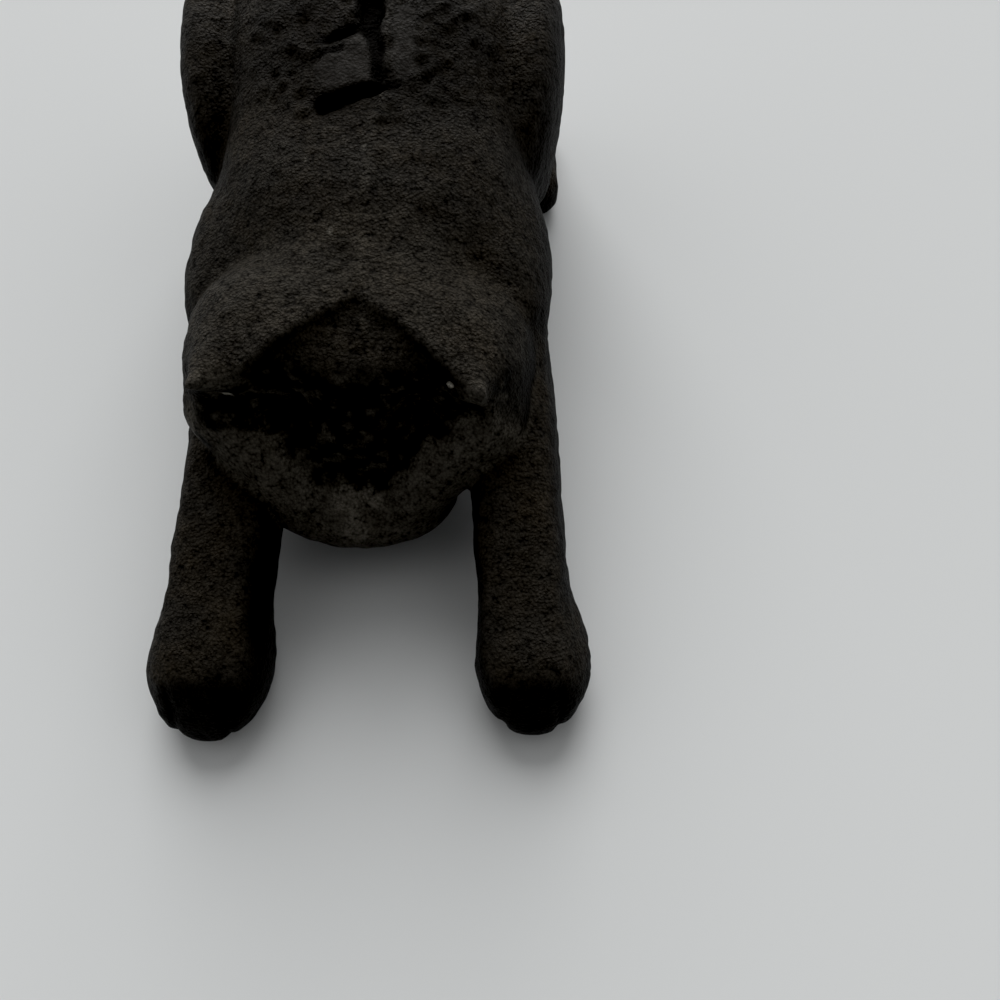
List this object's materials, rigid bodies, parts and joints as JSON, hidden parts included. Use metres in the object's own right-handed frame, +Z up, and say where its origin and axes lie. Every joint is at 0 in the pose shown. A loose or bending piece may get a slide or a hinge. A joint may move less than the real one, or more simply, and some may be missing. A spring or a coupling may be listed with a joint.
{
  "type": "cat doorstop",
  "caption": "Cast iron doorstop in the form of a crouching cat, forelegs stretched forward, head low between them and haunches raised, standing on its paws and seat.",
  "frame": {"origin": "middle of the footprint's bounding box, on the floor under the soles", "axes": "+Z up, the cat faces -Y with its length along Y, +X to its left side"},
  "size_m": [0.1148, 0.2308, 0.081],
  "materials": {
    "iron": "worn brown-black paint over pebbly sand-cast iron, dull with a faint sheen"
  },
  "bodies": {
    "root": {"cat_casting": "iron"}
  },
  "joints": []
}
